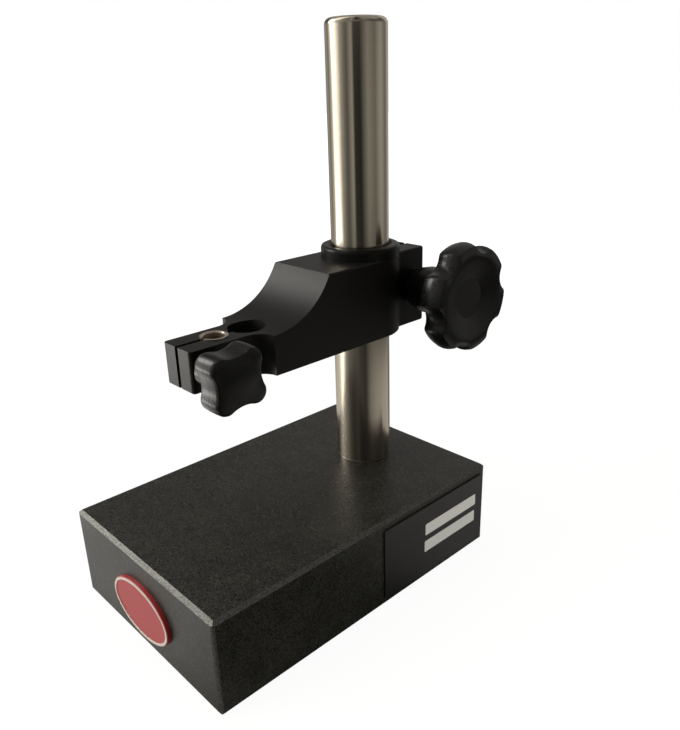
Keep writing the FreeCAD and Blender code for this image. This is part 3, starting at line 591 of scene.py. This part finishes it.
def make_floor():
    """A pale floor: white to the camera, yet it keeps the object's shadow, and plain white further off."""
    bpy.ops.object.select_all(action="DESELECT")
    bpy.ops.mesh.primitive_plane_add(size=FLOOR_SIZE, location=(0, 0, -FLOOR_DROP))
    floor = bpy.context.object
    floor.name = "studio_floor"
    finish = bpy.data.materials.new("pale_studio_floor")
    finish.use_nodes = True
    tree = finish.node_tree
    tree.nodes.clear()
    paint = add(tree, "BsdfDiffuse", {"Color": linear("a09d97")})
    glow = add(tree, "Emission", {"Color": (1, 1, 1, 1), "Strength": 1.27})
    place = add(tree, "TexCoord").outputs["Object"]
    away = add(tree, "VectorMath", {"operation": "LENGTH"}, {0: place}).outputs["Value"]
    white = add(tree, "MapRange", {"From Min": FLOOR_NEAR, "From Max": FLOOR_FAR,
                                   "To Min": FLOOR_GLOW_NEAR, "To Max": 1.0}, {"Value": away})
    path = add(tree, "LightPath")
    seen = add(tree, "Math", {"operation": "MAXIMUM"},
               {0: path.outputs["Is Camera Ray"], 1: path.outputs["Is Transmission Ray"]})
    share = add(tree, "Math", {"operation": "MULTIPLY"}, {0: seen, 1: white})
    mirrored = add(tree, "Math", {"operation": "MULTIPLY", 1: FLOOR_GLOW_MIRRORED},
                   {0: path.outputs["Is Glossy Ray"]})
    both = add(tree, "Math", {"operation": "ADD"}, {0: share, 1: mirrored})
    mixed = add(tree, "MixShader", {}, {0: both, 1: paint, 2: glow})
    add(tree, "OutputMaterial", {}, {"Surface": mixed})
    floor.data.materials.append(finish)


# The surround that the steel and the black parts mirror, as the flags and reflectors of a studio are.
# How bright its wall and its ground are towards each side, by azimuth in degrees about the column:
# 0 is the badge's side, 90 the knobs' side and -90 the far long side.
WALL_LEVELS = (
    (-180, 0.5), (-140, 0.4), (-112, 0.22), (-98, 0.42), (-80, 0.24), (-63, 0.7), (-52, 2.4), (-38, 1.8),
    (-18, 0.28), (8, 0.11), (26, 0.42), (34, 0.03), (56, 0.02), (84, 0.32), (114, 0.2), (137, 0.5),
    (165, 0.2), (180, 0.25),
)
HIGH_LEVELS = (
    (-180, 0.6), (-145, 0.45), (-125, 0.3), (-105, 0.1), (-80, 0.1), (-67, 5.0), (-59, 13.0), (-52, 13.0),
    (-42, 0.4), (30, 0.2), (110, 0.1), (165, 0.1), (180, 0.6),
)
NEAR_LEVELS = (
    (-180, 0.2), (-150, 0.15), (-104, 0.55), (-60, 0.9), (-45, 2.4), (-30, 0.6), (-10, 0.15), (60, 0.05),
    (80, 0.3), (105, 0.45), (180, 0.55),
)
FAR_LEVELS = (
    (-180, 0.2), (-100, 0.4), (-60, 0.9), (-45, 1.6), (-30, 0.6), (-10, 0.15), (60, 0.03), (80, 0.02),
    (150, 0.03), (180, 0.2),
)
# Where the window lights the ground: X and Y as fade in, full, full, fade out, then the level
WINDOW_PATCHES = (
    ((-0.14, -0.09, 0.0, 0.07), (-0.24, -0.19, -0.13, -0.10), 0.8),
    ((-0.52, -0.44, -0.26, -0.18), (-0.52, -0.46, -0.26, -0.22), 9.0),
)
DRUM_RADIUS = 0.6
DRUM_HEIGHT = 1.2
DRUM_MIDDLE = 0.59
# Heights from the drum's middle at which the high levels are nothing and full, at their foot and their head
HIGH_BEGINS = (-0.31, -0.23)
HIGH_ENDS = (0.17, 0.03)
GROUND_DROP = 0.03 * MM
# Distances from the column at which the ground, with a painted shadow under the object, gets its full level,
# and at which its near levels turn into its far ones
UNDER_OBJECT = (0.08, 0.12)
UNDER_OBJECT_LEVEL = 0.7
NEAR_TO_FAR = (0.22, 0.3)


def warm(level):
    """A warm white of a level, as a colour."""
    return (level, level * 0.97, level * 0.92, 1)


def azimuth_glow(tree, place, levels):
    """Warm white light whose level follows the azimuth."""
    parts = add(tree, "SeparateXYZ", {}, {0: place})
    ahead = add(tree, "Math", {"operation": "MULTIPLY", 1: -1.0}, {0: parts.outputs["Y"]})
    angle = add(tree, "Math", {"operation": "ARCTAN2"}, {0: parts.outputs["X"], 1: ahead})
    share = add(tree, "MapRange", {"From Min": -math.pi, "From Max": math.pi}, {"Value": angle})
    ramp = add(tree, "ValToRGB", {}, {0: share})
    stops = ramp.color_ramp.elements
    while len(stops) < len(levels):
        stops.new(0.5)
    for stop, (azimuth, level) in zip(stops, levels):
        stop.position = (azimuth + 180) / 360
        stop.color = warm(level)
    return ramp.outputs[0]


def mirror_only(screen, name, paint):
    """Makes a screen that only shows in reflections, with a glow that paint gives."""
    finish = bpy.data.materials.new(name)
    finish.use_nodes = True
    tree = finish.node_tree
    tree.nodes.clear()
    place = add(tree, "TexCoord").outputs["Object"]
    glow = add(tree, "Emission", {"Strength": 1.0}, {"Color": paint(tree, place)})
    add(tree, "OutputMaterial", {}, {"Surface": glow})
    screen.data.materials.append(finish)
    screen.visible_camera = False
    screen.visible_diffuse = False
    screen.visible_shadow = False
    screen.visible_transmission = False


def wall_glow(tree, place):
    """The wall's light: by azimuth, low down and above, where the window stands."""
    height = add(tree, "SeparateXYZ", {}, {0: place}).outputs["Z"]
    above = add(tree, "MapRange", {"From Min": HIGH_BEGINS[0], "From Max": HIGH_BEGINS[1]}, {"Value": height})
    below = add(tree, "MapRange", {"From Min": HIGH_ENDS[0], "From Max": HIGH_ENDS[1]}, {"Value": height})
    band = add(tree, "Math", {"operation": "MULTIPLY"}, {0: above, 1: below})
    return add(tree, "Mix", {"data_type": "RGBA"},
               {0: band, 6: azimuth_glow(tree, place, WALL_LEVELS),
                7: azimuth_glow(tree, place, HIGH_LEVELS)}).outputs[2]


def ground_glow(tree, place):
    """The ground's light: by azimuth, near and far, with a painted shadow under the object, and brighter
    where the window lights it.
    """
    away = add(tree, "VectorMath", {"operation": "LENGTH"}, {0: place}).outputs["Value"]
    # Painted shadow: the ground is dimmer under the object
    under_object_shadow = add(tree, "MapRange", {"From Min": UNDER_OBJECT[0], "From Max": UNDER_OBJECT[1],
                                   "To Min": UNDER_OBJECT_LEVEL, "To Max": 1.0}, {"Value": away})
    near = add(tree, "VectorMath", {"operation": "SCALE"},
               {0: azimuth_glow(tree, place, NEAR_LEVELS), "Scale": under_object_shadow})
    beyond = add(tree, "MapRange", {"From Min": NEAR_TO_FAR[0], "From Max": NEAR_TO_FAR[1]}, {"Value": away})
    glow = add(tree, "Mix", {"data_type": "RGBA"},
               {0: beyond, 6: near, 7: azimuth_glow(tree, place, FAR_LEVELS)}).outputs[2]
    parts = add(tree, "SeparateXYZ", {}, {0: place})
    for across, along, level in WINDOW_PATCHES:
        patch = None
        for axis, (begin, full, wane, end) in (("X", across), ("Y", along)):
            for outside, inside in ((begin, full), (end, wane)):
                share = add(tree, "MapRange", {"From Min": outside, "From Max": inside},
                            {"Value": parts.outputs[axis]})
                if patch:
                    share = add(tree, "Math", {"operation": "MULTIPLY"}, {0: patch, 1: share})
                patch = share
        glow = add(tree, "Mix", {"data_type": "RGBA", 7: warm(level)}, {0: patch, 6: glow}).outputs[2]
    return glow


def make_surround():
    """A drum and a ground that only show in reflections."""
    x, y = COLUMN_AXIS.xy
    bpy.ops.object.select_all(action="DESELECT")
    bpy.ops.mesh.primitive_cylinder_add(vertices=128, radius=DRUM_RADIUS, depth=DRUM_HEIGHT,
                                        location=(x, y, DRUM_MIDDLE))
    drum = bpy.context.object
    drum.name = "studio_surround"
    mirror_only(drum, "studio_surround_cloth", wall_glow)
    bpy.ops.object.select_all(action="DESELECT")
    bpy.ops.mesh.primitive_circle_add(vertices=64, radius=DRUM_RADIUS, fill_type="NGON",
                                      location=(x, y, -GROUND_DROP))
    ground = bpy.context.object
    ground.name = "studio_ground"
    mirror_only(ground, "studio_ground_cloth", ground_glow)


def make_world(scene):
    """White where it is seen, directly, in a mirror or through glass, and a soft grey light elsewhere."""
    world = bpy.data.worlds.new("white_studio")
    world.use_nodes = True
    tree = world.node_tree
    tree.nodes.clear()
    light = add(tree, "Background", {"Color": linear("e6e4df"), "Strength": 0.35})
    white = add(tree, "Background", {"Color": (1, 1, 1, 1), "Strength": 1.0})
    path = add(tree, "LightPath")
    direct = add(tree, "Math", {"operation": "MAXIMUM"},
                 {0: path.outputs["Is Camera Ray"], 1: path.outputs["Is Glossy Ray"]})
    seen = add(tree, "Math", {"operation": "MAXIMUM"}, {0: direct, 1: path.outputs["Is Transmission Ray"]})
    mixed = add(tree, "MixShader", {}, {0: seen, 1: light, 2: white})
    add(tree, "OutputWorld", {}, {"Surface": mixed})
    scene.world = world


# Each lamp: its name, place, size and power, and whether surfaces mirror it
LAMPS = (
    ("window", (-0.62, -1.05, 0.55), 0.8, 13.0, True),
    ("overhead", (-0.3, 0.1, 1.3), 0.9, 5.0, True),
    ("fill", (1.0, 0.2, 0.3), 0.5, 3.5, False),
)
LAMPS_AIM = Vector((0, 0, 0.1))


def make_lights():
    """A large low window on the badge's side, a weak one overhead, and a fill that no surface mirrors."""
    for name, place, size, power, mirrored in LAMPS:
        aim = LAMPS_AIM - Vector(place)
        bpy.ops.object.light_add(type="AREA", radius=size, location=place,
                                 rotation=aim.to_track_quat("-Z", "Y").to_euler())
        lamp = bpy.context.object
        lamp.name = name
        lamp.visible_glossy = mirrored
        lamp.data.size = size
        lamp.data.energy = power
        lamp.data.color = (1.0, 0.985, 0.96)


# The photograph's camera, fitted to the base and the column: how it looks at the object, in degrees, where
# it stands, and how far its image lies behind the lens, in pixels of the 680 x 730 photograph
CAMERA_AZIMUTH = 47.073
CAMERA_ELEVATION = 21.126
CAMERA_ROLL = -1.736
CAMERA_PLACE = (221.309 * MM, -173.304 * MM, 204.388 * MM)
CAMERA_FOCUS = 726.871
PHOTO_HEIGHT = 730
SENSOR_SIZE = 36.0


def make_camera(scene):
    """The photograph's camera, turned as it was held."""
    azimuth, elevation, roll = (math.radians(angle)
                                for angle in (CAMERA_AZIMUTH, CAMERA_ELEVATION, CAMERA_ROLL))
    back = Vector((math.sin(azimuth) * math.cos(elevation), -math.cos(azimuth) * math.cos(elevation),
                   math.sin(elevation)))
    level = (-back).cross(Vector((0, 0, 1))).normalized()
    upward = level.cross(-back)
    right = level * math.cos(roll) + upward * math.sin(roll)
    above = upward * math.cos(roll) - level * math.sin(roll)
    turn = Matrix((right, above, back)).transposed()
    bpy.ops.object.camera_add(location=CAMERA_PLACE, rotation=turn.to_euler())
    camera = bpy.context.object
    camera.data.sensor_width = SENSOR_SIZE
    camera.data.lens = CAMERA_FOCUS * SENSOR_SIZE / PHOTO_HEIGHT
    camera.data.clip_start = 0.01
    scene.camera = camera


class STAND_PT_sidebar(bpy.types.Panel):
    """Lists the stand's pieces and its studio"""
    bl_idname = "STAND_PT_sidebar"
    bl_label = "Comparator Stand"
    bl_space_type = "VIEW_3D"
    bl_region_type = "UI"
    bl_category = "Stand"

    def draw(self, context):
        layout = self.layout
        for operator in OPERATORS:
            layout.operator(operator.bl_idname)
        for group in (context.scene.stand_finishes, context.scene.stand_sizes):
            box = layout.box()
            for name in group.__annotations__:
                box.prop(group, name)


OPERATORS = (STAND_OT_stone, STAND_OT_column, STAND_OT_arm, STAND_OT_knobs, STAND_OT_fixings,
             STAND_OT_badge, STAND_OT_name_plate, STAND_OT_stage)
CLASSES = (StandFinishes, StandSizes, *OPERATORS, STAND_PT_sidebar)


def register():
    for cls in CLASSES:
        bpy.utils.register_class(cls)
    bpy.types.Scene.stand_finishes = bpy.props.PointerProperty(type=StandFinishes)
    bpy.types.Scene.stand_sizes = bpy.props.PointerProperty(type=StandSizes)


def unregister():
    del bpy.types.Scene.stand_sizes
    del bpy.types.Scene.stand_finishes
    for cls in reversed(CLASSES):
        bpy.utils.unregister_class(cls)


def main():
    """Registers the classes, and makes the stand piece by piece."""
    register()
    bpy.ops.stand.stone()
    bpy.ops.stand.column()
    bpy.ops.stand.arm()
    bpy.ops.stand.knobs()
    bpy.ops.stand.fixings()
    bpy.ops.stand.badge()
    bpy.ops.stand.name_plate()
    bpy.ops.stand.stage()


if __name__ == "__main__":
    main()
